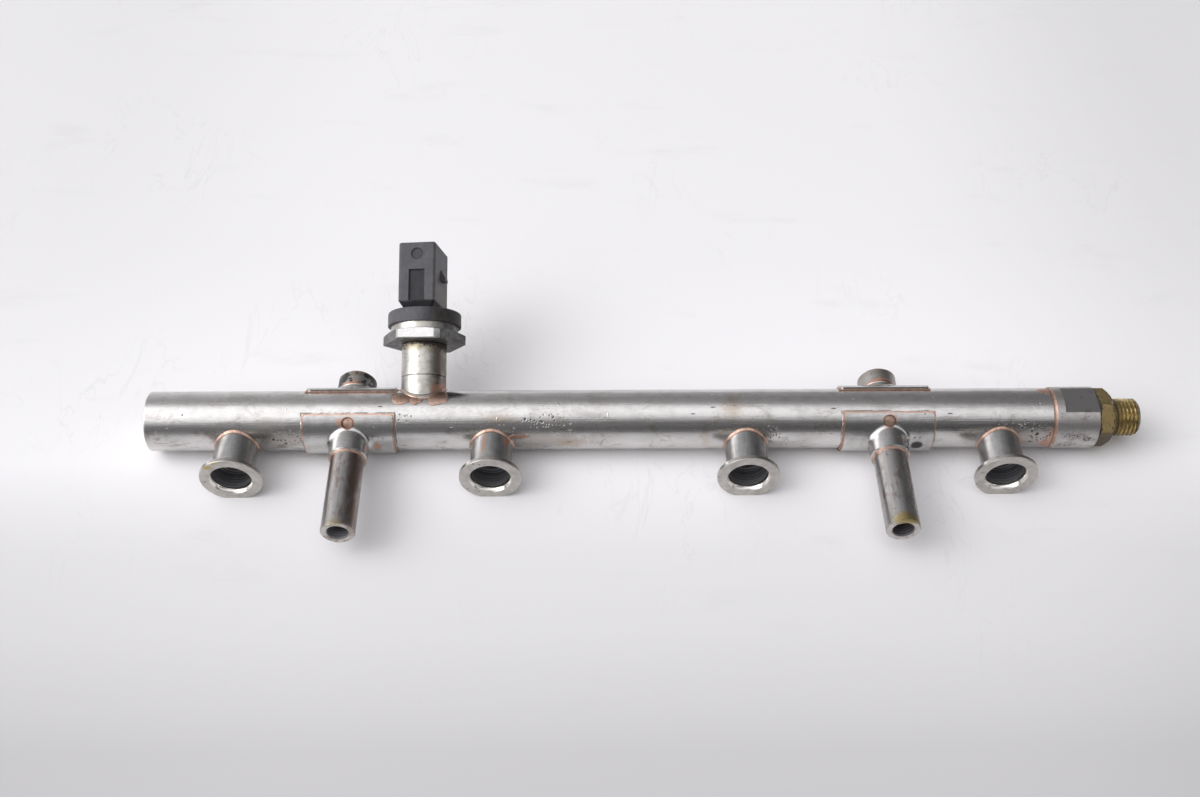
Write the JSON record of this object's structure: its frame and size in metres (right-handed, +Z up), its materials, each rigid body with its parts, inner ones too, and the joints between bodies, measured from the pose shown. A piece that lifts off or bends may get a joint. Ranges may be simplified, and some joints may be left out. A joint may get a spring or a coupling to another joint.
{
  "type": "fuel rail",
  "caption": "Brazed steel fuel rail for a petrol engine, with flanged injector cups, bolt sleeves held by saddle plates, a pressure sensor and a brass inlet union.",
  "frame": {"origin": "on the ground, under the middle of the rail's bounding box", "axes": "+X along the tube towards the inlet union, -Y the way the injector cups open, +Z up as the rail lies"},
  "size_m": [0.3682, 0.115, 0.0527],
  "materials": {
    "tube_steel": "bright drawn steel with lengthwise scratches",
    "adapter_steel": "turned steel, dulled by the brazing furnace",
    "copper_braze": "copper braze, smooth",
    "union_brass": "dull brass with dark thread roots",
    "boss_steel": "turned steel",
    "seal_rubber": "matt",
    "sensor_steel": "plated steel, grimy",
    "cell_steel": "ground",
    "board": "solder mask",
    "black_plastic": "satin moulded",
    "pin_plating": "tin plated",
    "cup_steel": "turned steel, dulled by the brazing furnace",
    "sleeve_steel": "drawn steel with heat tint",
    "saddle_steel": "pressed steel"
  },
  "bodies": {
    "root": {"rail_tube": "tube_steel", "end_plug": "tube_steel", "inlet_adapter": "adapter_steel", "adapter_braze": "copper_braze", "inlet_union": "union_brass", "sensor_boss": "boss_steel", "boss_braze": "copper_braze", "sensor_seal": "seal_rubber", "sensor_body": "sensor_steel", "sensor_cell": "cell_steel", "sensor_board": "board", "sensor_housing": "black_plastic", "sensor_pin_1": "pin_plating", "sensor_pin_2": "pin_plating", "sensor_pin_3": "pin_plating", "injector_cup_1": "cup_steel", "cup_braze_1": "copper_braze", "injector_cup_2": "cup_steel", "cup_braze_2": "copper_braze", "injector_cup_3": "cup_steel", "cup_braze_3": "copper_braze", "injector_cup_4": "cup_steel", "cup_braze_4": "copper_braze", "bolt_sleeve_left": "sleeve_steel", "sleeve_braze_left": "copper_braze", "saddle_front_left": "saddle_steel", "saddle_braze_front_left": "copper_braze", "saddle_back_left": "saddle_steel", "saddle_braze_back_left": "copper_braze", "bolt_sleeve_right": "sleeve_steel", "sleeve_braze_right": "copper_braze", "saddle_front_right": "saddle_steel", "saddle_braze_front_right": "copper_braze", "saddle_back_right": "saddle_steel", "saddle_braze_back_right": "copper_braze"}
  },
  "joints": []
}
